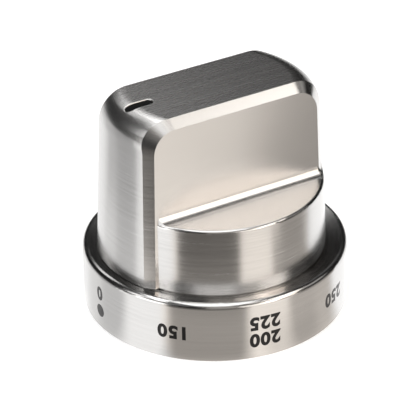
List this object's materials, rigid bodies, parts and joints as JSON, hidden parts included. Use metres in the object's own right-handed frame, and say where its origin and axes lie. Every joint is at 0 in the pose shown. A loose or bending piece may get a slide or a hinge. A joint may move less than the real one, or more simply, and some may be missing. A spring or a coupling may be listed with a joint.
{
  "type": "oven selector knob",
  "caption": "Brushed metal oven selector knob: upright bar grip on a round drum, wide labelled dial skirt, moulded back plate with a D-bore for the switch spindle.",
  "frame": {"origin": "centre of the skirt's lower edge, on the spindle's axis", "axes": "+Z along the spindle from the panel towards the top of the grip, +Y from the centre to the pointer end of the grip"},
  "size_m": [0.0636, 0.0636, 0.0559],
  "materials": {
    "brushed_body": "brushed along the grip and around the drum",
    "black_fill": "matt",
    "brushed_skirt": "brushed around the axis",
    "black_moulding": "fine spark-eroded texture",
    "spring_steel": "rolled strip",
    "zinc_plated_screw": "bright zinc plate"
  },
  "bodies": {
    "root": {"knob_body": "brushed_body", "pointer_inlay": "black_fill", "dial_skirt": "brushed_skirt", "hub_plate": "black_moulding", "spindle_clip": "spring_steel", "fixing_screws": "zinc_plated_screw"}
  },
  "joints": []
}
